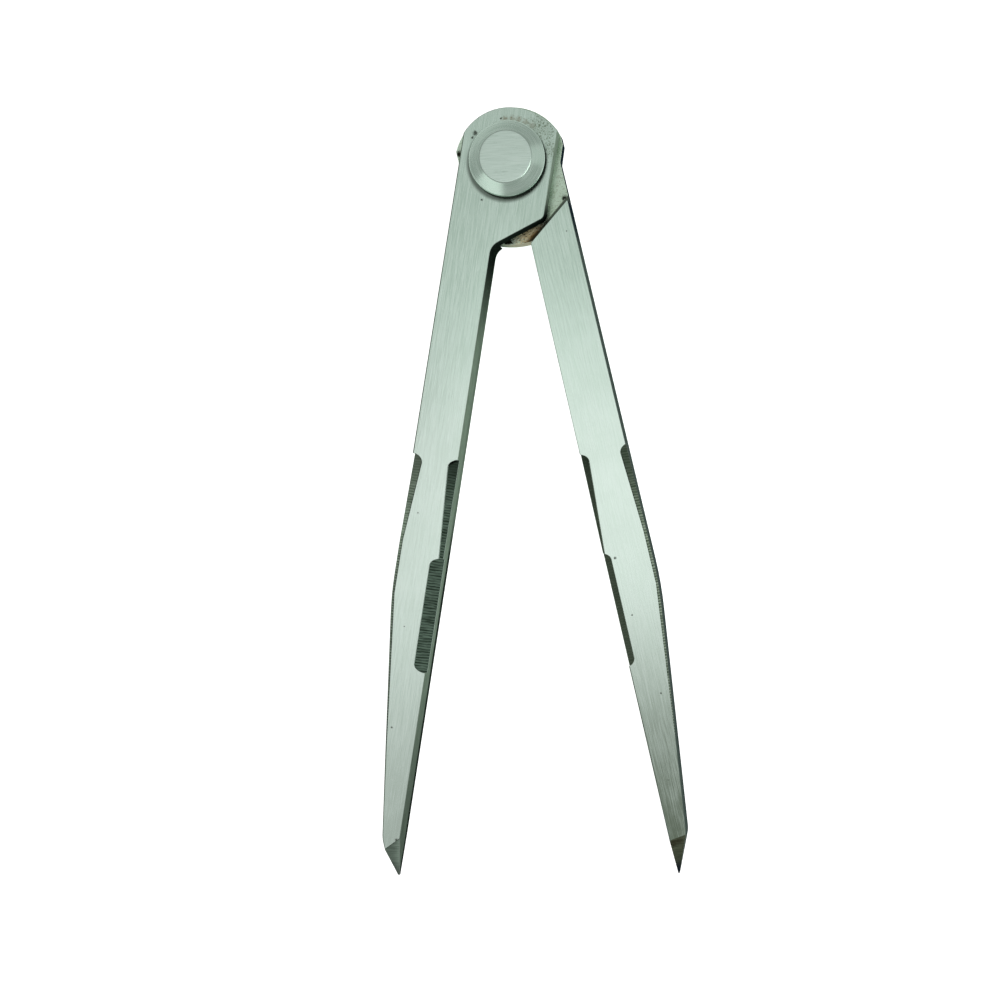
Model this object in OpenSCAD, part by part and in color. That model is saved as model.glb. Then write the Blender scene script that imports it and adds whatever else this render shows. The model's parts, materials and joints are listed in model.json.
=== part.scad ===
// Firm-joint layout divider: two flat ground-steel legs, half-lapped at the head and held by
// one stiff rivet, whose far end is spread into a washer behind.
// It lies with its front faces up (+Z), the head toward +Y and the points toward -Y.
// The pivot is the Z axis, and Z = 0 is the flat of the washer behind.
// Each leg is drawn pointing down its own -Y, with +X toward its outer edge and Z = 0 halfway
// through its thickness. The front leg is the left one and is drawn mirrored.

/* [Stance] */
// Angle between the legs as drawn, in degrees
opening = 22.3; // [0:0.1:150]

/* [Legs] */
// Pivot to the point of each leg
reach = 184.4; // [170:0.1:260]
// Thickness of each leg
leg_t = 10; // [7:0.5:16]
// Leg's centre line to its straight outer edge
outer_edge = 12.4; // [11.5:0.1:16]
// Leg's centre line to its inner edge, beside the pivot
inner_gap = 0.9; // [0.7:0.05:1.6]
// Leg's centre line to its inner edge, at the point
point_gap = 0.15; // [0.15:0.05:0.6]
// Pivot to the bend where the outer edge starts to taper
bend_at = 113; // [105:1:125]
// Radius that blends the bend
bend_r = 100; // [20:5:140]

/* [Points] */
// Width of the leg where the ground point starts
tip_w = 4.5; // [3:0.1:8]
// Length of the bevel that brings the outer edge to the point
bevel_len = 9.6; // [6:0.1:16]
// Radius that blends the bevel into the outer edge
bevel_r = 8; // [2:1:20]
// Length of the flats ground on the front leg's point
front_flat_len = 7.4; // [5:0.1:14]
// Slant of those flats, in degrees from square across the leg
front_slant = -45; // [-45:1:45]
// Height of the front leg's point above the back of the leg
front_point_h = 1.8; // [1.2:0.1:8]
// Length of the flats ground on the rear leg's point
rear_flat_len = 8.6; // [5:0.1:14]
// Slant of those, in degrees from square across the leg
rear_slant = 8; // [-45:1:45]
// Height of the rear leg's point above the back of the leg
rear_point_h = 6.5; // [1.2:0.1:8]
// Width of the small land left at the very point
point_land = 0.4; // [0.2:0.05:1]
// Thickness of that land
point_edge = 1; // [0.2:0.1:1]

/* [Half-lapped head] */
// How much farther the front leg's crown is from the pivot than the leg's outer edge
front_rise = 1.1; // [0.2:0.1:3]
// How much flatter the inner half of that crown is, as a larger radius
crown_ease = 3.5; // [0:0.1:6]
// Front tongue's reach past its centre line, inward
front_tongue = 11.4; // [10.5:0.1:13]
// Pivot to the diagonal heel of the front tongue
heel_cut = 17.5; // [16.5:0.1:20]
// Slope of that heel, in degrees from square across the leg
heel_angle = 36; // [30:1:42]
// Rounding of the tongue's lower corner
tongue_round = 1.8; // [0.5:0.1:4]
// Fillet where the heel runs into the leg's inner edge
heel_fillet = 3.8; // [1.5:0.1:5]
// How much farther the rear leg's crown is from the pivot than the leg's outer edge
rear_rise = 2.2; // [1:0.1:4]
// Depth of the flat on the rear head's inner cheek
inner_cheek_cut = 1.6; // [0.2:0.1:2.5]
// Depth of the flat on the rear head's outer cheek
outer_cheek_cut = 0.5; // [0.2:0.1:1.5]
// Pivot to the neck below it, where the rear leg's outer edge starts to flare
neck_at = 3; // [0:0.5:6]
// Flare from the rear leg's outer edge out to its cheek, in degrees
neck_flare = 21; // [10:1:40]
// Room between the front tongue and the shoulder it swings past
shoulder_room = 0.8; // [0.4:0.1:2]
// Room between the rear tongue and the round recess it swings in
recess_room = 0.4; // [0.3:0.1:2]
// Room left between the two inner edges where they come closest
closed_room = 0.3; // [0.2:0.05:0.5]

/* [Milled edges] */
// Pivot to the top of the upper flutes
upper_flute_at = 77.4; // [60:0.1:85]
// Pivot to the top of the lower flutes
lower_flute_at = 102.7; // [95:0.1:110]
// Length of the lower flutes
lower_flute_len = 29; // [20:0.5:40]
// Length over which the outer flutes run out
outer_flute_len = 22; // [15:1:25]
// Radius that the mill leaves at a flute's end
mill_r = 2; // [1.5:0.1:4]
// Length of the filed chamfer below the bend
chamfer_run = 38; // [20:1:50]

/* [Front leg's flutes] */
// Width of its upper inner flute at the top
front_inner_w = 2.4; // [1:0.1:3]
// Width that is left where that flute meets the lower one
front_runout_w = 0.9; // [0.2:0.1:1]
// Width of its lower flute
front_lower_w = 3.1; // [1.2:0.1:3.5]
// Width of its outer flute at the top
front_outer_w = 2.8; // [1.2:0.1:3.5]
// Width of the filed chamfer below that
front_chamfer_w = 0.9; // [0.3:0.05:1.2]

/* [Rear leg's flutes] */
// Width of its upper inner flute at the top
rear_inner_w = 2; // [1:0.1:3]
// Width that is left where that flute meets the lower one
rear_runout_w = 0.3; // [0.2:0.1:1]
// Width of its lower flute
rear_lower_w = 1.7; // [1.2:0.1:3.5]
// Width of its outer flute at the top
rear_outer_w = 1.8; // [1.2:0.1:3.5]
// Width of the filed chamfer below that
rear_chamfer_w = 0.6; // [0.3:0.05:1.2]

/* [Rivet] */
// Diameter of the rivet's head, and of the washer behind
head_d = 19.5; // [16:0.5:24]
// Height of the head, and of the washer
head_h = 4.5; // [3:0.1:6]
// Height of the head's straight wall, below its chamfer
head_wall = 2.2; // [0.5:0.1:2.5]
// Diameter of the flat on top of the head
head_flat_d = 13.1; // [11:0.1:15]
// Diameter of the shank
shank_d = 8; // [6:0.5:10]
// Spread of the shank's far end, all round
spread = 1; // [0.5:0.1:1.5]
// Radial room round the shank in the front leg and the washer
rivet_fit = 0.02; // [0.01:0.01:0.05]
// Radial room round the shank in the rear leg, which turns on it
turning_fit = 0.04; // [0.02:0.01:0.1]

/* [Hidden] */
$fn = 180;

steel = [0.77, 0.83, 0.79];
rivet_steel = [0.74, 0.80, 0.77];

// How far a cutting shape runs past the metal
past = 12;
// How far a corner's web runs out from its arc's centre, against the corner it fills
web_past = 1.1;
lap_z = head_h + leg_t / 2;
front_z = leg_t / 2;
shank_r = shank_d / 2;

// The outer edge's corners, and the inner edge at a distance below the pivot
bend_point = [outer_edge, -bend_at];
tip_shoulder = [point_gap + tip_w, bevel_len - reach];
tip_land = [point_gap + point_land, -reach];
taper = unit(tip_shoulder - bend_point);
inner_lean = (inner_gap - point_gap) / reach;
function inner_x(below) = inner_gap - inner_lean * below;
function unit(v) = v / norm(v);

// The heel is a straight line, heel_cut from the pivot. It meets the inner edge at heel_foot below it.
heel_run = [-cos(heel_angle), sin(heel_angle)];
function heel_y(x) = -(heel_cut + x * sin(heel_angle)) / cos(heel_angle);
heel_foot = (heel_cut + inner_gap * sin(heel_angle)) / (cos(heel_angle) + inner_lean * sin(heel_angle));
tongue_corner = [-front_tongue, heel_y(-front_tongue)];
front_crown_h = outer_edge + front_rise;
front_crown_r = front_crown_h + crown_ease;
crown_centre = [0, -crown_ease];
crown_corner = crown_centre + [-front_tongue, sqrt(pow(front_crown_r, 2) - pow(front_tongue, 2))];
tongue_swing = max(norm(crown_corner), norm(tongue_corner));
shoulder_at = tongue_swing + shoulder_room;

// The front leg's recess ends where the heel would come too near the closed rear leg
heel_tip_x = closed_room - inner_gap;
recess_r = norm([heel_tip_x, heel_y(heel_tip_x)]);
rear_heel_r = recess_r - recess_room;
rear_crown_r = outer_edge + rear_rise;
inner_cheek = rear_crown_r - inner_cheek_cut;
outer_cheek = rear_crown_r - outer_cheek_cut;

// What lies between a corner and the arc of radius r that touches both its edges. It runs
// past the corner and its edges, by a share of the radius.
module corner_web(corner, along_a, along_b, r) {
    half = acos(along_a * along_b) / 2;
    tangent = r / tan(half);
    centre = corner + unit(along_a + along_b) * r / sin(half);
    kite = [corner + along_a * tangent, corner, corner + along_b * tangent];
    translate(centre) difference() {
        polygon([[0, 0], for (end = kite) (end - centre) * web_past]);
        circle(r);
    }
}

// Half plane on the pivot's side of a line that is square to a direction
module keep_within(distance, direction) {
    size = 2 * reach;
    rotate(direction) translate([distance - size, -size / 2]) square(size);
}

// Outline of a leg below its head, with the blended bend
module shank_outline() {
    difference() {
        polygon([
            [inner_gap, 0],
            [outer_edge, 0],
            bend_point,
            tip_shoulder,
            tip_land,
            [point_gap, -reach]
        ]);
        corner_web(bend_point, [0, 1], taper, bend_r);
        corner_web(tip_shoulder, -taper, unit(tip_land - tip_shoulder), bevel_r);
    }
}

// Front leg's head: a crown of two arcs, and the tongue with its diagonal heel
module front_head_outline() {
    difference() {
        intersection() {
            union() {
                circle(front_crown_h);
                intersection() {
                    translate(crown_centre) circle(front_crown_r);
                    keep_within(0, 0);
                }
                translate([-front_tongue, -heel_foot]) square([front_tongue + outer_edge, heel_foot]);
            }
            keep_within(outer_edge, 0);
            keep_within(front_tongue, 180);
            keep_within(heel_cut, -90 - heel_angle);
        }
        corner_web(tongue_corner, [0, 1], -heel_run, tongue_round);
    }
}

// Rear leg's head: a larger crown between two cheeks, on a round heel
module rear_head_outline() {
    intersection() {
        union() {
            circle(rear_crown_r);
            translate([-inner_cheek, -rear_heel_r])
                square([inner_cheek + outer_edge, rear_heel_r]);
        }
        circle(rear_heel_r);
        keep_within(inner_cheek, 180);
        keep_within(outer_cheek, 0);
        translate([outer_edge, -neck_at]) keep_within(0, -neck_flare);
    }
}

// Cutter for a 45 degree facet on a front edge that faces +X. Its inner border runs on the
// front face from one place to another, and an end made by the mill is round.
module edge_facet(from, to, round_top = false, round_foot = false) {
    run = to - from;
    length = norm(run);
    top_r = round_top ? mill_r : 0;
    foot_r = round_foot ? mill_r : 0;
    translate([from[0], from[1], front_z])
        rotate([0, 0, atan2(run[1], run[0]) + 90])
            rotate([0, 45, 0])
                linear_extrude(past) {
                    translate([0, foot_r - length]) square([past, length - top_r - foot_r]);
                    translate([mill_r, -length]) square([past - mill_r, length]);
                    if (round_top) translate([mill_r, -mill_r]) circle(mill_r);
                    if (round_foot) translate([mill_r, mill_r - length]) circle(mill_r);
                }
}

// The two flutes on the inner edge: one that narrows as it runs down into the other, which
// has both ends round
module inner_flutes(upper_w, runout_w, lower_w) {
    upper_foot = lower_flute_at + mill_r;
    lower_foot = lower_flute_at + lower_flute_len;
    mirror([1, 0, 0]) {
        edge_facet(
            [-inner_x(upper_flute_at) - upper_w, -upper_flute_at],
            [-inner_x(upper_foot) - runout_w, -upper_foot],
            round_top = true
        );
        edge_facet(
            [-inner_x(lower_flute_at) - lower_w, -lower_flute_at],
            [-inner_x(lower_foot) - lower_w, -lower_foot],
            round_top = true,
            round_foot = true
        );
    }
}

// The flute on the outer edge, and the filed chamfer that carries it round the bend. The
// chamfer overlaps the cuts above and below it, so that no burr stays between them, and it
// runs out over the edge halfway down its last cut.
module outer_flute(width, chamfer_w) {
    flute_foot = [outer_edge - chamfer_w, -upper_flute_at - outer_flute_len];
    inset = [chamfer_w, 0];
    overlap = [0, chamfer_w];
    edge_facet([outer_edge - width, -upper_flute_at], flute_foot, round_top = true);
    edge_facet(flute_foot + overlap, bend_point - inset - overlap);
    edge_facet(bend_point - inset, bend_point + inset + taper * 2 * chamfer_run);
}

// Cutter for a flat that falls from the front face to the point
module point_flat(length, slant, fall) {
    translate([point_gap, -reach, front_z - fall])
        rotate([0, 0, slant])
            rotate([atan(fall / length), 0, 0])
                translate([-past, -past, 0]) cube([2 * past, 3 * past, past]);
}

// Flats ground on the front and the back of a leg, down to a point at a height above its back
module point_flats(length, slant, height) {
    point_flat(length, slant, leg_t - height);
    mirror([0, 0, 1]) point_flat(length, slant, height - point_edge);
}

// Room for the rear tongue: a round recess in the back half of the front leg
module lap_recess() {
    translate([0, 0, -leg_t]) cylinder(h = leg_t, r = recess_r);
}

// Room for the front tongue: the front half of the rear leg, down to a slanted shoulder
module lap_step() {
    linear_extrude(leg_t) keep_within(shoulder_at, heel_angle - 90);
}

module pivot_bore(room) {
    cylinder(h = 2 * leg_t, r = shank_r + room, center = true);
}

module slab() {
    linear_extrude(leg_t, center = true) children();
}

module front_leg() color(steel)
    mirror([1, 0, 0]) rotate([0, 0, opening / 2]) translate([0, 0, lap_z])
        difference() {
            union() {
                slab() shank_outline();
                slab() front_head_outline();
                slab() corner_web(
                    [inner_x(heel_foot), -heel_foot],
                    unit([-inner_lean, -1]),
                    heel_run,
                    heel_fillet
                );
            }
            lap_recess();
            pivot_bore(rivet_fit);
            inner_flutes(front_inner_w, front_runout_w, front_lower_w);
            outer_flute(front_outer_w, front_chamfer_w);
            point_flats(front_flat_len, front_slant, front_point_h);
        }

module rear_leg() color(steel)
    rotate([0, 0, opening / 2]) translate([0, 0, lap_z])
        difference() {
            union() {
                slab() shank_outline();
                slab() rear_head_outline();
            }
            lap_step();
            pivot_bore(turning_fit);
            inner_flutes(rear_inner_w, rear_runout_w, rear_lower_w);
            outer_flute(rear_outer_w, rear_chamfer_w);
            point_flats(rear_flat_len, rear_slant, rear_point_h);
        }

// Rivet, turned in one piece: chamfered head in front, shank, and the far end spread flush
module pivot_rivet() color(rivet_steel)
    rotate_extrude()
        polygon([
            [0, 0],
            [shank_r + spread, 0],
            [shank_r, spread],
            [shank_r, head_h + leg_t],
            [head_d / 2, head_h + leg_t],
            [head_d / 2, head_h + leg_t + head_wall],
            [head_flat_d / 2, head_h + leg_t + head_h],
            [0, head_h + leg_t + head_h]
        ]);

// Washer of the head's own shape, countersunk for the spread end
module rear_washer() color(rivet_steel)
    rotate_extrude()
        polygon([
            [shank_r + spread + rivet_fit, 0],
            [head_flat_d / 2, 0],
            [head_d / 2, head_h - head_wall],
            [head_d / 2, head_h],
            [shank_r + rivet_fit, head_h],
            [shank_r + rivet_fit, spread]
        ]);

front_leg();
rear_leg();
pivot_rivet();
rear_washer();
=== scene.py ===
import json
import math

import bmesh
import bpy
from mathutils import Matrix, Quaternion, Vector


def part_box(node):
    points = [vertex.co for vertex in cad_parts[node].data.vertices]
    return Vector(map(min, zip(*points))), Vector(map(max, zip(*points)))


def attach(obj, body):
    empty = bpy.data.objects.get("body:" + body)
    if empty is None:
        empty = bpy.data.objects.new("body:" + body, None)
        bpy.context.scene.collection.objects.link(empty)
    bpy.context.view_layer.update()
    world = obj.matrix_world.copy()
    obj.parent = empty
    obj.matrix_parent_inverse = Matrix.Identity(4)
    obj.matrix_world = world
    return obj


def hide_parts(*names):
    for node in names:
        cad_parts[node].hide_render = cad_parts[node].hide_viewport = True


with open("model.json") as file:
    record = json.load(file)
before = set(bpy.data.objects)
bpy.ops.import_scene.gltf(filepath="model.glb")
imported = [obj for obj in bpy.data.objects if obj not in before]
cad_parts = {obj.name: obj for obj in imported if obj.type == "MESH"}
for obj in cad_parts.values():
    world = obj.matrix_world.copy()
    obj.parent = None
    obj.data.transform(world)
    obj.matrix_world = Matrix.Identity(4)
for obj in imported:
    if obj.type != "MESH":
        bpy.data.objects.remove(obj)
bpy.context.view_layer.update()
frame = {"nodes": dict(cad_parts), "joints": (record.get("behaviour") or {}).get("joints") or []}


# Front leg: the left bar, sawn from flat steel and ground along its length on both faces.
# Flutes are milled into its front edges, its point is ground on the bar itself, and its tongue
# is the front half of the lap joint.
opening = math.radians(-frame["joints"][0]["range_deg"][0])
front_turn = -opening / 2
leg_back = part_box("front_leg")[0].z
leg_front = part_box("front_leg")[1].z
leg_middle = (leg_back + leg_front) / 2

# Places down a leg, in metres below the pivot
flutes_start = 0.0774
chamfer_starts = 0.1
flutes_end = 0.1317
point_starts = 0.172


def tone(red, green, blue):
    """A colour as it reads on screen, 0 to 255, in the linear values that the shader takes."""
    parts = [part / 255 for part in (red, green, blue)]
    return [p / 12.92 if p <= 0.04045 else ((p + 0.055) / 1.055) ** 2.4 for p in parts] + [1]


def feed(tree, socket, value):
    """Gives a socket its value, or links it where the value comes from another node."""
    if isinstance(value, bpy.types.NodeSocket):
        tree.links.new(value, socket)
    else:
        socket.default_value = value


def add(tree, kind, inputs, **settings):
    """A new node with its settings and inputs."""
    node = tree.nodes.new(kind)
    for setting, value in settings.items():
        setattr(node, setting, value)
    for name, value in inputs.items():
        feed(tree, node.inputs[name], value)
    return node


def combine(tree, operation, first, second):
    """Two values added, multiplied or compared."""
    return add(tree, "ShaderNodeMath", {0: first, 1: second}, operation=operation).outputs[0]


def combine_places(tree, operation, first, second):
    """Two places added, multiplied or divided."""
    return add(tree, "ShaderNodeVectorMath", {0: first, 1: second}, operation=operation).outputs["Vector"]


def distance(tree, first, second):
    """How far one place is from another."""
    return add(tree, "ShaderNodeVectorMath", {0: first, 1: second}, operation="DISTANCE").outputs["Value"]


def spread(tree, value, start, end, low=0.0, high=1.0):
    """A value that goes from low to high while another goes from start to end."""
    limits = {"Value": value, "From Min": start, "From Max": end, "To Min": low, "To Max": high}
    return add(tree, "ShaderNodeMapRange", limits, interpolation_type="SMOOTHSTEP").outputs[0]


def by_noise(tree, noise, low=0.0, high=1.0):
    """A value that goes from low to high with a noise, which mostly stays between 0.3 and 0.7."""
    return spread(tree, noise, 0.3, 0.7, low, high)


def share_of(tree, value, part):
    """A mask or value at part of its strength."""
    return combine(tree, "MULTIPLY", value, part)


def without(tree, mask, other):
    """A mask less the places that another one covers."""
    return combine(tree, "MULTIPLY", mask, combine(tree, "SUBTRACT", 1.0, other))


def lay(tree, mask, under, top):
    """One colour laid over another where the mask is 1."""
    # The node's sockets for colours come after those for its other kinds of data
    mix = add(tree, "ShaderNodeMix", {0: mask, 6: under, 7: top}, data_type="RGBA")
    return mix.outputs[2]


def new_group(name, inputs, outputs):
    """An empty node group with its sockets, each with its kind, and its two ends."""
    group = bpy.data.node_groups.new(name, "ShaderNodeTree")
    for socket, kind in inputs.items():
        group.interface.new_socket(socket, in_out="INPUT", socket_type="NodeSocket" + kind)
    for socket, kind in outputs.items():
        group.interface.new_socket(socket, in_out="OUTPUT", socket_type="NodeSocket" + kind)
    start = group.nodes.new("NodeGroupInput")
    end = group.nodes.new("NodeGroupOutput")
    return group, start.outputs, end.inputs


# Lines that a wheel, file or mill leaves, each as wide and as long as given, and the slow
# clouding of the whole surface
tool_lines, given, result = new_group(
    "tool_lines",
    {"Position": "Vector", "Across": "Float", "Along": "Float"},
    {"Lines": "Float", "Clouds": "Float"},
)
line_size = add(
    tool_lines, "ShaderNodeCombineXYZ",
    {"X": given["Across"], "Y": given["Along"], "Z": given["Across"]},
).outputs[0]
line_place = combine_places(tool_lines, "DIVIDE", given["Position"], line_size)
lines = add(
    tool_lines, "ShaderNodeTexNoise",
    {"Vector": line_place, "Scale": 1, "Detail": 4, "Roughness": 0.6},
)
clouds = add(
    tool_lines, "ShaderNodeTexNoise",
    {"Vector": given["Position"], "Scale": 110, "Detail": 5, "Roughness": 0.6},
)
feed(tool_lines, result["Lines"], lines.outputs["Fac"])
feed(tool_lines, result["Clouds"], clouds.outputs["Fac"])

# A round patch about one place on the piece, for a mark such as rust, a pit, dust or a spot of painted
# shade. Its border is ragged by a share of its radius.
round_patch, given, result = new_group(
    "round_patch", {"Position": "Vector", "Centre": "Vector", "Radius": "Float"}, {"Mask": "Float"}
)
raggedness = 0.3
border = add(
    round_patch, "ShaderNodeTexNoise",
    {"Vector": given["Position"], "Scale": 1800, "Detail": 3, "Roughness": 0.6},
)
ragged = spread(round_patch, border.outputs["Fac"], 0.25, 0.75, -raggedness, raggedness)
from_centre = distance(round_patch, given["Position"], given["Centre"])
outward_share = combine(round_patch, "ADD", combine(round_patch, "DIVIDE", from_centre, given["Radius"]), ragged)
feed(round_patch, result["Mask"], spread(round_patch, outward_share, 1.15, 0.25))

# Small dark specks, such as rust starts and grit leave
specks, given, result = new_group("specks", {"Position": "Vector"}, {"Mask": "Float"})
grit = add(
    specks, "ShaderNodeTexNoise",
    {"Vector": given["Position"], "Scale": 2600, "Detail": 2, "Roughness": 0.5},
)
feed(specks, result["Mask"], spread(specks, grit.outputs["Fac"], 0.52, 0.64))

# A broken edge that was rubbed bright or has gathered dirt, where the mesh is marked as worn
wear_mark = "worn_edge"
edge_wear, given, result = new_group(
    "edge_wear", {"Colour": "Color", "Worn Colour": "Color", "Share": "Float"}, {"Colour": "Color"}
)
marked = add(edge_wear, "ShaderNodeAttribute", {}, attribute_name=wear_mark).outputs["Fac"]
worn_share = combine(edge_wear, "MULTIPLY", marked, given["Share"])
feed(edge_wear, result["Colour"], lay(edge_wear, worn_share, given["Colour"], given["Worn Colour"]))


def new_finish(name, bare=1.0):
    """A steel with its shader, and the place on the piece that its patterns read.

    Bare is the share of clean metal. The rest is a dull skin of oxide and oil, which keeps the
    steel from shining where it is seen along its surface.
    """
    finish = bpy.data.materials.new(name)
    finish.use_nodes = True
    tree = finish.node_tree
    shader = tree.nodes["Principled BSDF"]
    shader.inputs["Metallic"].default_value = bare
    if bare < 1:
        shader.inputs["Specular IOR Level"].default_value = 0
        shader.inputs["Specular Tint"].default_value = (0.15, 0.17, 0.16, 1)
    place = tree.nodes.new("ShaderNodeTexCoord").outputs["Object"]
    return finish, tree, shader, place


def down_leg(tree, place, turn):
    """The place on a leg with Y along it, whichever way it is turned, and how far below the pivot."""
    turned = add(
        tree, "ShaderNodeMapping", {"Vector": place, "Rotation": (0, 0, turn)}, vector_type="TEXTURE"
    ).outputs[0]
    above = add(tree, "ShaderNodeSeparateXYZ", {"Vector": turned}).outputs["Y"]
    return turned, combine(tree, "MULTIPLY", above, -1.0)


def place_group(tree, group, inputs):
    """One of the shared effects, placed in a finish."""
    return add(tree, "ShaderNodeGroup", inputs, node_tree=group).outputs


def marks(tree, position, across, along):
    """Tool lines and clouding on a finish."""
    made = place_group(tree, tool_lines, {"Position": position, "Across": across, "Along": along})
    return made["Lines"], made["Clouds"]


def at_height(height, spots):
    """Round patches on a level face, given as x, y and radius in millimetres, with the face's height."""
    return [(x, y, height * 1000, radius) for x, y, radius in spots]


def round_patches(tree, place, spots):
    """One mask for several round patches, each given as x, y, z and radius in millimetres."""
    mask = 0.0
    for x, y, z, radius in spots:
        centre = (x / 1000, y / 1000, z / 1000)
        spot = place_group(tree, round_patch, {"Position": place, "Centre": centre, "Radius": radius / 1000})
        mask = combine(tree, "MAXIMUM", mask, spot["Mask"])
    return mask


def speckled(tree, place, spots, between):
    """One mask for stains made of specks, with its strength between the specks."""
    on_specks = 0.9
    speck = place_group(tree, specks, {"Position": place})["Mask"]
    density = spread(tree, speck, 0.0, 1.0, between, on_specks)
    return combine(tree, "MULTIPLY", round_patches(tree, place, spots), density)


def wear_edges(tree, colour, worn_tone, share):
    """A finish's colour with its broken edges worn to another one."""
    inputs = {"Colour": colour, "Worn Colour": worn_tone, "Share": share}
    return place_group(tree, edge_wear, inputs)["Colour"]


micron = 0.000001


def surface(tree, shader, colour, roughness, relief, depth):
    """Gives a shader its colour and roughness, and the relief of the tool marks, as deep as given."""
    feed(tree, shader.inputs["Base Color"], colour)
    feed(tree, shader.inputs["Roughness"], roughness)
    bump = add(tree, "ShaderNodeBump", {"Height": relief, "Strength": 1, "Distance": depth})
    feed(tree, shader.inputs["Normal"], bump.outputs[0])


def ground_face(name, turn, point_tone, dull_from, pits, rust=(), gritty=(), rivet_shade_reach=0.0):
    """Face ground along the leg, cleaner below the joint and duller toward the point.

    It has pits, and places specked with rust or grit. The last argument is how far from the pivot a painted
    shade reaches round the rivet's head: a dark crescent for the head's shadow and the reflection of its
    dark wall.
    """
    finish, tree, shader, place = new_finish(name)
    leg_place, below = down_leg(tree, place, turn)
    lines, clouds = marks(tree, leg_place, across=0.00015, along=0.007)
    grain = combine(tree, "ADD", share_of(tree, lines, 0.8), share_of(tree, clouds, 0.2))
    colour = lay(tree, spread(tree, grain, 0.36, 0.64), tone(196, 221, 205), tone(218, 240, 227))
    cleaner = spread(tree, below, 0.02, 0.09, 0.0, 0.22)
    colour = lay(tree, cleaner, colour, tone(250, 246, 248))
    dull_to = 0.19
    wavering = combine(tree, "ADD", below, share_of(tree, clouds, 0.03))
    mottled = combine(tree, "ADD", share_of(tree, lines, 0.5), share_of(tree, clouds, 0.5))
    dulled = combine(
        tree, "MULTIPLY",
        spread(tree, wavering, dull_from, dull_to), spread(tree, mottled, 0.38, 0.62, 1.0, 0.6),
    )
    colour = lay(tree, dulled, colour, point_tone)
    if rust:
        colour = lay(tree, speckled(tree, place, rust, between=0.45), colour, tone(150, 148, 126))
    if gritty:
        colour = lay(tree, speckled(tree, place, gritty, between=0.2), colour, tone(120, 138, 114))
    # Painted shade: a dark crescent round the rivet's head, set toward the lower left, for the head's
    # shadow on the face and the reflection of its dark wall.
    if rivet_shade_reach:
        rivet_shade_centre = (-0.0003, -0.0005, leg_front)
        rivet_shade_fade = 0.0011
        away = distance(tree, place, rivet_shade_centre)
        painted_shade = spread(tree, away, rivet_shade_reach, rivet_shade_reach - rivet_shade_fade, 0.0, 0.75)
        colour = lay(tree, painted_shade, colour, tone(52, 62, 50))
    pitted = round_patches(tree, place, pits)
    colour = lay(tree, share_of(tree, pitted, 0.85), colour, tone(44, 48, 36))
    colour = wear_edges(tree, colour, tone(236, 246, 240), share=0.4)
    roughness = combine(tree, "ADD", by_noise(tree, lines, 0.17, 0.24), share_of(tree, pitted, 0.3))
    surface(tree, shader, colour, roughness, lines, depth=4 * micron)
    return finish


def sawn_side(name, turn, shade_tone, shaded_beyond, joint_shade_from, joint_shade_to, tip_shift=0.0, overall_shade=0.0, pale=()):
    """Sides of a leg as the saw left them, with painted shade on the one that lies beyond a line along it.

    The painted shade is black at the joint, toward the point and along the back edge, and can also lie
    evenly over the whole side. At the narrow point the line shifts. Pale places are where dry dust has
    settled. The side without painted shade has a dark line along its front edge.
    """
    unshaded_metal = 0.4
    shaded_metal = 0.03
    finish, tree, shader, place = new_finish(name, unshaded_metal)
    leg_place, below = down_leg(tree, place, turn)
    across = add(tree, "ShaderNodeSeparateXYZ", {"Vector": leg_place}).outputs["X"]
    height = add(tree, "ShaderNodeSeparateXYZ", {"Vector": place}).outputs["Z"]

    # The marks run level round the leg, so they are as long across it as along it
    mark_width = 0.0004
    mark_length = 0.006
    round_leg = combine_places(tree, "MULTIPLY", leg_place, (mark_width / mark_length, 1, 1))
    lines, clouds = marks(tree, round_leg, across=mark_width, along=mark_length)

    # Painted shade: black along the back edge, widening toward the point, at the joint and toward the
    # point, and evenly over the side where a level is given.
    thick_from = 0.105
    wavering_height = combine(tree, "ADD", height, share_of(tree, clouds, 0.0015))
    back_edge = spread(tree, wavering_height, leg_back + 0.0048, leg_back + 0.003)
    thickening = spread(tree, below, thick_from - 0.02, thick_from, 0.3, 1.0)
    back_edge = combine(tree, "MULTIPLY", back_edge, thickening)
    joint_shade = combine(
        tree, "MULTIPLY",
        spread(tree, below, joint_shade_from, joint_shade_from + 0.005), spread(tree, below, joint_shade_to + 0.03, joint_shade_to),
    )
    toward_point = spread(tree, below, thick_from, point_starts + 0.003, 0.0, 0.6)
    painted_shade = combine(tree, "MAXIMUM", combine(tree, "MAXIMUM", back_edge, joint_shade), toward_point)
    painted_shade = combine(tree, "MAXIMUM", painted_shade, overall_shade)
    if tip_shift:
        shifted = spread(tree, below, point_starts - 0.012, point_starts, 0.0, tip_shift)
        across = combine(tree, "ADD", across, shifted)
    # Only the side beyond the line takes the painted shade.
    shaded_side = spread(tree, across, shaded_beyond - 0.004, shaded_beyond)
    painted_shade = combine(tree, "MULTIPLY", painted_shade, shaded_side)

    colour = lay(tree, by_noise(tree, lines), tone(122, 141, 123), tone(148, 167, 150))
    if pale:
        dusty = round_patches(tree, place, pale)
        painted_shade = without(tree, painted_shade, dusty)
        colour = lay(tree, dusty, colour, tone(216, 212, 188))
    # The painted shade's colour over the side's own, which is also less metallic under it.
    colour = lay(tree, painted_shade, colour, shade_tone)
    colour = wear_edges(tree, colour, tone(170, 186, 174), share=0.15)
    # A dark line along the front edge of the side that has no painted shade.
    near_front = spread(tree, height, leg_front - 0.0005, leg_front - 0.0003, 0.0, 0.75)
    colour = wear_edges(tree, colour, tone(58, 68, 54), share=without(tree, near_front, shaded_side))
    feed(tree, shader.inputs["Metallic"], spread(tree, painted_shade, 0.0, 1.0, unshaded_metal, shaded_metal))
    surface(tree, shader, colour, by_noise(tree, lines, 0.4, 0.55), lines, depth=10 * micron)
    return finish


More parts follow.
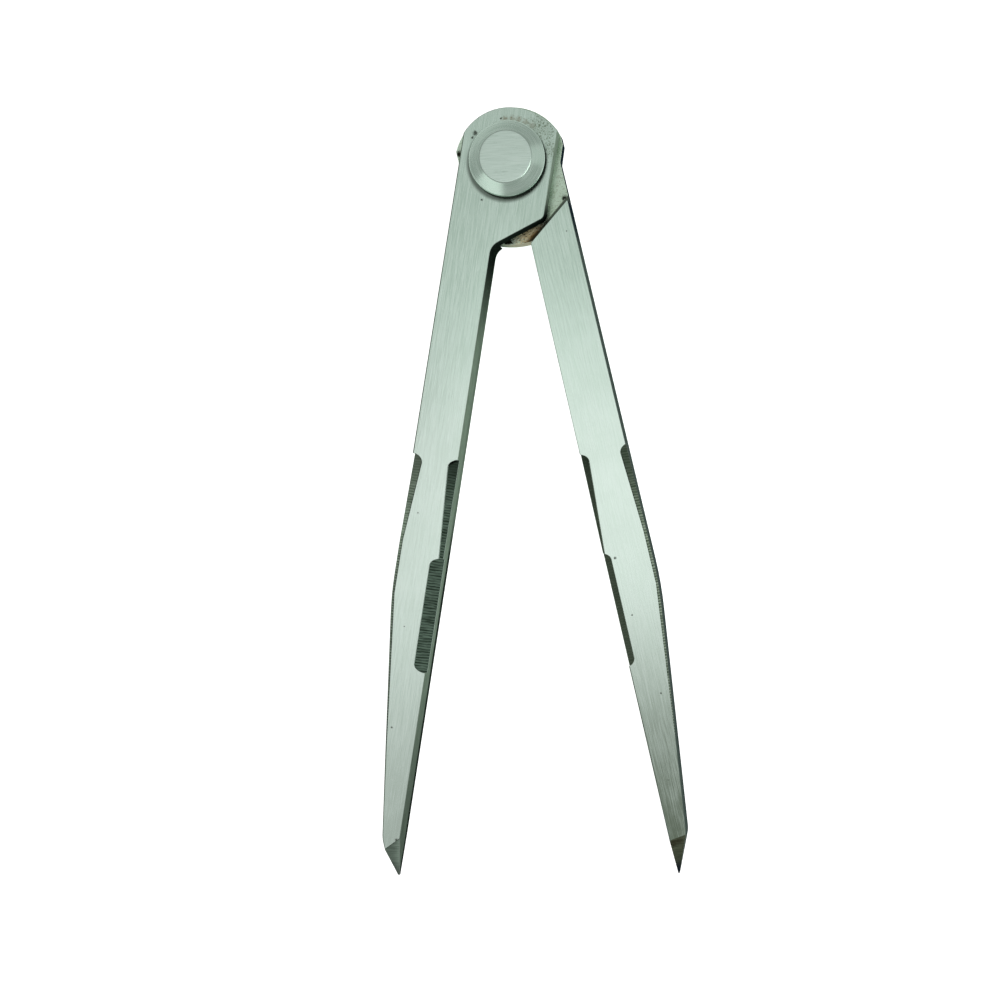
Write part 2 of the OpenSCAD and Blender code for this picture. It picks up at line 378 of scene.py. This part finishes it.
def milled_flute(name, turn, dark, light, shade_tone, shade_fades_from, shade_fades_to, edge_tone, teeth=0.0):
    """Flute with the chatter that the mill left across it, and painted shade toward its upper end.

    Teeth is how dark the bites are that show as dots below the flutes, where only a chamfer is left.
    """
    finish, tree, shader, place = new_finish(name)
    leg_place, below = down_leg(tree, place, turn)
    pitch = 0.0007
    lines, clouds = marks(tree, leg_place, across=0.004, along=pitch / 2)

    # A wave of scale 1 repeats after a tenth of pi
    chatter = add(
        tree, "ShaderNodeTexWave",
        {"Vector": leg_place, "Scale": math.pi / (10 * pitch), "Distortion": 2, "Detail": 3},
        bands_direction="Y",
    ).outputs["Fac"]
    bite = combine(tree, "ADD", share_of(tree, chatter, 0.2), share_of(tree, lines, 0.8))
    colour = lay(tree, by_noise(tree, bite), dark, light)
    if teeth:
        toothed = combine(
            tree, "MULTIPLY",
            spread(tree, chatter, 0.65, 0.4),
            spread(tree, below, chamfer_starts, chamfer_starts + 0.012, 0.0, teeth),
        )
        colour = lay(tree, toothed, colour, edge_tone)
    # Painted shade toward the upper end of the flute, fading out down the leg.
    wavering = combine(tree, "ADD", below, share_of(tree, clouds, 0.004))
    colour = lay(tree, spread(tree, wavering, shade_fades_from, shade_fades_to, 0.85, 0.0), colour, shade_tone)
    colour = wear_edges(tree, colour, edge_tone, share=spread(tree, chatter, 0.3, 0.7, 0.9, 0.3))
    surface(tree, shader, colour, by_noise(tree, clouds, 0.32, 0.48), bite, depth=30 * micron)
    return finish


def ground_point(name, turn, dark, light, tip_tone, burns=()):
    """Flat ground across the point, with the wheel's marks across it, burns and a dark tip."""
    finish, tree, shader, place = new_finish(name)
    leg_place, below = down_leg(tree, place, turn)
    lines, clouds = marks(tree, leg_place, across=0.004, along=0.00022)
    colour = lay(tree, by_noise(tree, lines), dark, light)
    if burns:
        streaks = spread(tree, lines, 0.35, 0.6, 0.9, 0.5)
        burnt = combine(tree, "MULTIPLY", round_patches(tree, place, burns), streaks)
        colour = lay(tree, burnt, colour, tone(44, 40, 26))
    wavering = combine(tree, "ADD", below, share_of(tree, clouds, 0.003))
    tip_from = 0.1805
    tip_to = 0.1855
    colour = lay(tree, spread(tree, wavering, tip_from, tip_to), colour, tip_tone)
    colour = wear_edges(tree, colour, tone(62, 72, 64), share=0.5)
    surface(tree, shader, colour, by_noise(tree, lines, 0.28, 0.42), lines, depth=10 * micron)
    return finish


def lapped_face(name, turn, dark, light, shoulder_at=None, cream=(), grime_and_shade=()):
    """Face inside the lap, scraped flat across the turned place and specked with grit.

    Where it ends at a shoulder, it is caked with dried oil and rusty near the shoulder, and black along
    the shoulder's foot with dirt and painted shade. The dark spots are dirt specks and painted shade.
    """
    finish, tree, shader, place = new_finish(name)
    lap_place, toward_shoulder = down_leg(tree, place, turn)
    lines, clouds = marks(tree, lap_place, across=0.0012, along=0.0004)
    colour = lay(tree, spread(tree, clouds, 0.35, 0.65), dark, light)
    speck = place_group(tree, specks, {"Position": place})["Mask"]
    colour = lay(tree, share_of(tree, speck, 0.4), colour, tone(120, 132, 96))
    if shoulder_at:
        caked = lay(tree, by_noise(tree, lines), tone(186, 172, 124), tone(226, 216, 178))
        caked = lay(tree, share_of(tree, speck, 0.85), caked, tone(60, 52, 34))
        wavering = combine(tree, "ADD", toward_shoulder, share_of(tree, clouds, 0.0006))
        rusty = spread(tree, wavering, shoulder_at - 0.0008, shoulder_at + 0.0001, 0.0, 0.9)
        caked = lay(tree, rusty, caked, tone(96, 70, 34))
        colour = lay(tree, round_patches(tree, place, cream), colour, caked)
        # Dirt with painted shade: black along the foot of the shoulder and in the listed dark spots.
        rim = spread(tree, wavering, shoulder_at, shoulder_at + 0.0003, 0.0, 0.85)
        grime_and_shade_mask = combine(tree, "MAXIMUM", rim, round_patches(tree, place, grime_and_shade))
        colour = lay(tree, grime_and_shade_mask, colour, tone(28, 32, 22))
    surface(tree, shader, colour, by_noise(tree, clouds, 0.22, 0.34), lines, depth=8 * micron)
    return finish


def below_pivot(point, turn):
    """How far down its leg a point is."""
    return point.x * math.sin(turn) - point.y * math.cos(turn)


def outward(face, turn):
    """How far a face looks away from the other leg, from -1 to 1."""
    return (face.normal.x * math.cos(turn) + face.normal.y * math.sin(turn)) * math.copysign(1, turn)


# Places in a leg's list of finishes
on_face, on_side, on_inner_flute, on_outer_flute, on_point, on_lap = range(6)


def leg_finish(face, turn):
    """Which of its leg's finishes a face has, by how level it is and where it lies."""
    middle = face.calc_center_median()
    level = abs(face.normal.z)
    if level < 0.02:
        return on_side
    if level >= 0.9995:
        return on_lap if abs(middle.z - leg_middle) < 0.001 else on_face
    if below_pivot(middle, turn) > point_starts:
        return on_point
    return on_outer_flute if outward(face, turn) > 0 else on_inner_flute


def make_piece(name, shape, worn, finishes):
    """A finished mesh as an object, round where it curves or is worn and crisp at its edges."""
    curve_limit = math.radians(12)
    worn_limit = math.radians(50)
    for face in shape.faces:
        face.smooth = True
    for edge in shape.edges:
        is_worn = any(face[worn] for face in edge.link_faces)
        edge.smooth = edge.calc_face_angle(0) < (worn_limit if is_worn else curve_limit)
    mesh = bpy.data.meshes.new(name)
    shape.to_mesh(mesh)
    shape.free()
    for finish in finishes:
        mesh.materials.append(finish)
    piece = bpy.data.objects.new(name, mesh)
    bpy.context.scene.collection.objects.link(piece)
    flat_faces = piece.modifiers.new("flat_faces", "WEIGHTED_NORMAL")
    flat_faces.weight = 100
    flat_faces.keep_sharp = True
    return piece


outer_side = 1
inner_side = -1


def is_eased(edge, turn, eased_side, eased_from):
    """Whether an edge is the front one on the eased side, from where the easing begins to the point."""
    middle = (edge.verts[0].co + edge.verts[1].co) / 2
    sides = [face for face in edge.link_faces if face.material_index == on_side]
    faces = [face for face in edge.link_faces if face.material_index == on_face]
    if not sides or not faces or middle.z < leg_middle:
        return False
    along = eased_from < below_pivot(middle, turn) < point_starts + 0.01
    return along and outward(sides[0], turn) * eased_side > 0.9


def is_sharp(edge, worn):
    """Whether an edge stands out and has not been broken yet."""
    untouched = not any(face[worn] for face in edge.link_faces)
    return untouched and edge.is_convex and edge.calc_face_angle(0) > math.radians(25)


def break_edges(shape, worn, edges, width):
    """Files edges off to a narrow round, which is marked as worn.

    Each strip of it takes the later finish of the two faces beside it.
    """
    filed = bmesh.ops.bevel(
        shape, geom=edges, offset=width, offset_type="OFFSET", affect="EDGES",
        segments=2, profile=0.5, material=-1, clamp_overlap=False,
    )["faces"]
    # Gone through twice, because one of the two beside a strip is another strip
    for face in filed + filed:
        face[worn] = 1
        long_edges = sorted(face.edges, key=lambda edge: -edge.calc_length())[:2]
        beside = [other for edge in long_edges for other in edge.link_faces]
        face.material_index = max(other.material_index for other in beside)


def make_leg(node, turn, finishes, eased_side, eased_from, eased_by):
    """The leg's solid with whole faces and broken edges, each face with its own finish.

    The front edge on one side is eased by hand, more than the others, from a place down the leg.
    """
    edge_break = 0.00012
    shape = bmesh.new()
    shape.from_mesh(frame["nodes"][node].data)
    bmesh.ops.remove_doubles(shape, verts=shape.verts, dist=1e-5)
    bmesh.ops.dissolve_limit(
        shape, angle_limit=math.radians(0.3), verts=shape.verts, edges=shape.edges
    )
    for face in shape.faces:
        face.material_index = leg_finish(face, turn)
    worn = shape.faces.layers.float.new(wear_mark)
    hand_eased = [edge for edge in shape.edges if is_eased(edge, turn, eased_side, eased_from)]
    break_edges(shape, worn, hand_eased, eased_by)
    break_edges(shape, worn, [edge for edge in shape.edges if is_sharp(edge, worn)], edge_break)
    return make_piece(node + "_steel", shape, worn, finishes)


front_finishes = [
    ground_face(
        "front_ground_face", front_turn,
        point_tone=tone(178, 192, 182),
        dull_from=0.13,
        pits=at_height(leg_front, [
            (-8.1, 7.4, 0.8), (-8.9, 6.3, 0.45), (-6.05, 7.1, 0.5), (-1.4, 10.7, 0.35),
            (-7.0, -9.8, 0.4), (-26.3, -88.6, 0.2), (-30.8, -117.2, 0.2),
            (-34.9, -142.6, 0.3), (-34.6, -171.0, 0.5),
        ]),
        rust=at_height(leg_front, [
            (6.5, 8.3, 1.1), (4.9, 9.3, 1.1), (3.2, 10.0, 1.1), (1.5, 10.4, 1.1), (-0.4, 10.5, 1.0),
        ]),
        gritty=at_height(leg_front, [(9.0, 7.5, 5.0), (11.0, 2.0, 3.5)]),
        rivet_shade_reach=0.0108,
    ),
    sawn_side(
        "front_sawn_side", front_turn,
        shade_tone=tone(28, 38, 32),
        shaded_beyond=-0.003,
        joint_shade_from=0.008,
        joint_shade_to=0.024,
    ),
    milled_flute(
        "front_inner_flute", front_turn,
        dark=tone(40, 54, 42),
        light=tone(107, 128, 114),
        shade_tone=tone(42, 54, 44),
        shade_fades_from=flutes_start,
        shade_fades_to=flutes_start + 0.016,
        edge_tone=tone(150, 166, 156),
    ),
    milled_flute(
        "front_outer_flute", front_turn,
        dark=tone(58, 76, 56),
        light=tone(126, 142, 126),
        shade_tone=tone(54, 66, 52),
        shade_fades_from=flutes_start,
        shade_fades_to=flutes_start + 0.022,
        edge_tone=tone(30, 38, 30),
        teeth=0.9,
    ),
    ground_point(
        "front_ground_point", front_turn,
        dark=tone(87, 101, 90),
        light=tone(114, 129, 117),
        tip_tone=tone(68, 77, 70),
    ),
    lapped_face("front_lap", front_turn, dark=tone(196, 212, 196), light=tone(222, 238, 224)),
]
front_leg = make_leg(
    "front_leg", front_turn, front_finishes, eased_side=outer_side, eased_from=0.02, eased_by=0.00025
)
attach(front_leg, "front")
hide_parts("front_leg")


# Rear leg: the right bar, made as the front one is. Its tongue is the back half of the lap
# joint, and its front half ends at a slanted shoulder below the other leg's heel.
rear_turn = opening / 2
heel_angle = math.radians(36)
shoulder_at = 0.0169
rear_finishes = [
    ground_face(
        "rear_ground_face", rear_turn,
        point_tone=tone(116, 130, 112),
        dull_from=0.121,
        pits=at_height(leg_front, [
            (23.4, -101.9, 0.42), (27.1, -116.3, 0.25), (33.5, -135.9, 0.3),
            (14.3, -19.1, 0.22), (34.4, -157.4, 0.2),
        ]),
    ),
    sawn_side(
        "rear_sawn_side", rear_turn,
        shade_tone=tone(26, 40, 46),
        shaded_beyond=0.007,
        joint_shade_from=-0.03,
        joint_shade_to=0.016,
        tip_shift=0.0062,
        # An even painted shade over the whole outer side.
        overall_shade=0.75,
        pale=[(3.0, -21.0, 7.0, 6.5)],
    ),
    milled_flute(
        "rear_inner_flute", rear_turn,
        dark=tone(58, 70, 55),
        light=tone(74, 85, 70),
        shade_tone=tone(50, 62, 50),
        shade_fades_from=flutes_start,
        shade_fades_to=flutes_start + 0.02,
        edge_tone=tone(130, 144, 130),
    ),
    milled_flute(
        "rear_outer_flute", rear_turn,
        dark=tone(62, 82, 58),
        light=tone(150, 166, 148),
        shade_tone=tone(44, 57, 44),
        shade_fades_from=flutes_start + 0.005,
        shade_fades_to=flutes_start + 0.028,
        edge_tone=tone(30, 40, 32),
    ),
    ground_point(
        "rear_ground_point", rear_turn,
        dark=tone(64, 72, 56),
        light=tone(91, 98, 79),
        tip_tone=tone(26, 34, 44),
        burns=[
            (35.2, -172.9, 14.2, 1.3), (36.6, -172.6, 14.2, 1.3), (38.7, -174.6, 13.0, 1.7),
            (38.0, -176.6, 11.5, 1.6), (37.2, -178.8, 9.5, 1.4),
        ],
    ),
    lapped_face(
        "rear_lap", rear_turn + heel_angle,
        dark=tone(182, 206, 182),
        light=tone(212, 234, 214),
        shoulder_at=shoulder_at,
        cream=at_height(leg_middle, [(4.6, -18.4, 6.0)]),
        # Dirt specks, and painted shade below the other leg's heel and beside its crown.
        grime_and_shade=at_height(leg_middle, [
            (13.5, -9.7, 0.9), (2.9, -18.4, 0.3), (2.4, -18.2, 0.25), (-1.5, -20.0, 2.2), (-13.2, 3.4, 1.1),
        ]),
    ),
]
rear_leg = make_leg(
    "rear_leg", rear_turn, rear_finishes, eased_side=inner_side, eased_from=flutes_end, eased_by=0.0003
)
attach(rear_leg, "rear")
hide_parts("rear_leg")


# Pivot rivet: turned from bar, with a chamfered head in front whose flat was brushed from side
# to side. Its shank runs through both tongues, and the far end is spread into the washer.
head_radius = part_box("pivot_rivet")[1].x
head_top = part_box("pivot_rivet")[1].z
head_wall = 0.0022
flat_radius = 0.00655
shank_radius = 0.004
end_spread = 0.001

# Fine rings that a turning tool leaves about the pivot, and that waver a little
turned_rings, given, result = new_group("turned_rings", {"Position": "Vector"}, {"Rings": "Float"})
rings_per_metre = 4200
waver = 160
flat_place = combine_places(turned_rings, "MULTIPLY", given["Position"], (1, 1, 0))
from_axis = distance(turned_rings, flat_place, (0, 0, 0))
ring_number = combine(turned_rings, "MULTIPLY", from_axis, rings_per_metre)
ring_place = add(turned_rings, "ShaderNodeCombineXYZ", {"X": ring_number}).outputs[0]
drift = combine_places(turned_rings, "MULTIPLY", flat_place, (waver, waver, waver))
rings = add(
    turned_rings, "ShaderNodeTexNoise",
    {
        "Vector": combine_places(turned_rings, "ADD", ring_place, drift),
        "Scale": 1, "Detail": 3, "Roughness": 0.6,
    },
)
feed(turned_rings, result["Rings"], rings.outputs["Fac"])


def turned_chamfer(name, dark, light):
    """Chamfer as the turning tool left it."""
    finish, tree, shader, place = new_finish(name)
    rings = place_group(tree, turned_rings, {"Position": place})["Rings"]
    colour = lay(tree, by_noise(tree, rings), dark, light)
    colour = wear_edges(tree, colour, tone(160, 177, 166), share=0.6)
    surface(tree, shader, colour, by_noise(tree, rings, 0.22, 0.3), rings, depth=1.5 * micron)
    return finish


def brushed_flat(name, dark, light):
    """Flat brushed along X, with a few deeper scratches."""
    finish, tree, shader, place = new_finish(name)
    fine, _ = marks(tree, place, across=0.006, along=0.00018)
    deep, _ = marks(tree, place, across=0.004, along=0.0006)
    colour = lay(tree, by_noise(tree, fine), dark, light)
    scratched = spread(tree, deep, 0.62, 0.74, 0.0, 0.45)
    colour = lay(tree, scratched, colour, tone(140, 158, 146))
    surface(tree, shader, colour, by_noise(tree, fine, 0.27, 0.35), fine, depth=4 * micron)
    return finish


def shaded_wall(name, dark, light):
    """Wall of a head, painted dark for the contact shadow round its foot."""
    finish, tree, shader, place = new_finish(name, bare=0.1)
    lines, clouds = marks(tree, place, across=0.004, along=0.004)
    colour = lay(tree, by_noise(tree, clouds), dark, light)
    surface(tree, shader, colour, by_noise(tree, clouds, 0.4, 0.55), lines, depth=4 * micron)
    return finish


# Places in a turned piece's list of finishes
on_wall, on_chamfer, on_flat = range(3)


def turned_finish(face):
    """Which of its turned piece's finishes a face has, by how level it is."""
    level = abs(face.normal.z)
    if level < 0.05:
        return on_wall
    return on_flat if level > 0.95 else on_chamfer


def spin_profile(name, profile, closed, seat, finishes):
    """A turned piece from its half profile, each point a radius and a height.

    Its edges are broken, but not where it sits on a leg at the height of the seat.
    """
    rim_round = 0.0003
    shape = bmesh.new()
    corners = [shape.verts.new((radius, 0, height)) for radius, height in profile]
    outline = [shape.edges.new(pair) for pair in zip(corners, corners[1:])]
    if closed:
        outline.append(shape.edges.new((corners[-1], corners[0])))
    bmesh.ops.spin(
        shape, geom=corners + outline, cent=(0, 0, 0), axis=(0, 0, 1),
        angle=math.tau, steps=144, use_merge=True,
    )
    bmesh.ops.remove_doubles(shape, verts=shape.verts, dist=1e-6)
    bmesh.ops.recalc_face_normals(shape, faces=shape.faces)
    for face in shape.faces:
        face.material_index = turned_finish(face)
    worn = shape.faces.layers.float.new(wear_mark)
    rims = [edge for edge in shape.edges if is_sharp(edge, worn)]
    free_rims = [edge for edge in rims if abs(edge.verts[0].co.z - seat) > 1e-5]
    break_edges(shape, worn, free_rims, rim_round)
    return make_piece(name, shape, worn, finishes)


pivot_rivet = spin_profile(
    "pivot_rivet_steel",
    profile=[
        (0, 0),
        (shank_radius + end_spread, 0),
        (shank_radius, end_spread),
        (shank_radius, leg_front),
        (head_radius, leg_front),
        (head_radius, leg_front + head_wall),
        (flat_radius, head_top),
        (0, head_top),
    ],
    closed=False,
    seat=leg_front,
    finishes=[
        shaded_wall("rivet_wall", dark=tone(32, 40, 34), light=tone(60, 70, 62)),
        turned_chamfer("rivet_chamfer", dark=tone(166, 188, 174), light=tone(182, 201, 189)),
        brushed_flat("rivet_flat", dark=tone(202, 224, 211), light=tone(222, 241, 230)),
    ],
)
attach(pivot_rivet, "front")
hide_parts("pivot_rivet")


# Rear washer: a turned steel ring of the same form as the rivet's head, countersunk for the
# spread end, which is filed flush with it.
bore_room = 0.00002
rear_washer = spin_profile(
    "rear_washer_steel",
    profile=[
        (shank_radius + end_spread + bore_room, 0),
        (flat_radius, 0),
        (head_radius, leg_back - head_wall),
        (head_radius, leg_back),
        (shank_radius + bore_room, leg_back),
        (shank_radius + bore_room, end_spread),
    ],
    closed=True,
    seat=leg_back,
    finishes=[
        shaded_wall("washer_wall", dark=tone(26, 32, 28), light=tone(50, 58, 52)),
        # Painted shade: the chamfer and flat are darker than the rivet's for the shade of the floor that
        # the washer lies on.
        turned_chamfer("washer_chamfer", dark=tone(118, 134, 124), light=tone(140, 156, 146)),
        brushed_flat("washer_flat", dark=tone(140, 157, 147), light=tone(164, 180, 170)),
    ],
)
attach(rear_washer, "front")
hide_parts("rear_washer")


# Floor: a plain matt sheet that the divider lies on. The camera sees it as white, directly and
# in the steel, and it keeps the divider's shadow.
floor_glow = 0.75
sheet = bmesh.new()
bmesh.ops.create_grid(sheet, x_segments=1, y_segments=1, size=8)
floor = bpy.data.objects.new("floor", bpy.data.meshes.new("floor"))
sheet.to_mesh(floor.data)
sheet.free()
bpy.context.scene.collection.objects.link(floor)
white_paint = bpy.data.materials.new("floor_white")
white_paint.use_nodes = True
tree = white_paint.node_tree
shader = tree.nodes["Principled BSDF"]
shader.inputs["Base Color"].default_value = (0.88, 0.88, 0.88, 1)
shader.inputs["Roughness"].default_value = 1
shader.inputs["Specular IOR Level"].default_value = 0
shader.inputs["Emission Color"].default_value = (1, 1, 1, 1)
path = tree.nodes.new("ShaderNodeLightPath").outputs
seen = combine(tree, "MAXIMUM", path["Is Camera Ray"], path["Is Glossy Ray"])
seen = combine(tree, "MAXIMUM", seen, path["Is Transmission Ray"])
feed(tree, shader.inputs["Emission Strength"], combine(tree, "MULTIPLY", seen, floor_glow))
floor.data.materials.append(white_paint)


# Lamps: softboxes above the legs, whose edges give the faces their slow shading, low ones at the
# left and right for the rivet's chamfer, and a bright one for the rim of its flat. The room round
# them is a plain grey.
def softbox(name, place, width, depth, brightness, aim=(0, 0, 0), roll=0):
    """A rectangular lamp that looks at its aim. Its brightness is that of its surface."""
    lamp = bpy.data.lights.new(name, "AREA")
    lamp.shape = "RECTANGLE"
    lamp.size = width
    lamp.size_y = depth
    lamp.energy = brightness * math.pi * width * depth
    stand = bpy.data.objects.new(name, lamp)
    stand.location = place
    toward = (Vector(aim) - Vector(place)).to_track_quat("-Z", "Y")
    stand.rotation_euler = (toward @ Quaternion((0, 0, 1), math.radians(roll))).to_euler()
    bpy.context.scene.collection.objects.link(stand)


# The two overhead look a millimetre off straight down, which settles how they are turned
softbox(
    "overhead", (-0.081, -0.028, 1.2), width=0.34, depth=0.27, brightness=0.54,
    aim=(-0.081, -0.029, 0), roll=-22,
)
softbox(
    "overhead_left", (-0.39, -0.269, 1.2), width=0.3, depth=0.4, brightness=0.28,
    aim=(-0.39, -0.27, 0),
)
softbox("low_left", (-0.64, -0.63, 0.43), width=0.9, depth=0.3, brightness=0.95)
softbox("low_right", (0.95, 0.22, 0.46), width=0.7, depth=0.5, brightness=0.34)
softbox("rim", (0.6, -0.3, 0.93), width=0.7, depth=0.26, brightness=4.0)
room = bpy.data.worlds.new("room")
room.use_nodes = True
room_light = room.node_tree.nodes["Background"].inputs
room_light["Color"].default_value = (1, 1, 1, 1)
room_light["Strength"].default_value = 0.57
bpy.context.scene.world = room


# Camera: above the middle of the legs and a little to the right, as the photograph was taken.
# Its place, turn and lens were fitted to the outlines of the legs and the rivet.
lens = bpy.data.cameras.new("camera")
lens.lens = 74.297
lens.sensor_width = 36
camera = bpy.data.objects.new("camera", lens)
camera.location = (0.070723, -0.108976, 0.528921)
camera.rotation_euler = (0.038411, 0.147894, -0.036398)
bpy.context.scene.collection.objects.link(camera)
bpy.context.scene.camera = camera
bpy.context.scene.view_settings.view_transform = "Standard"
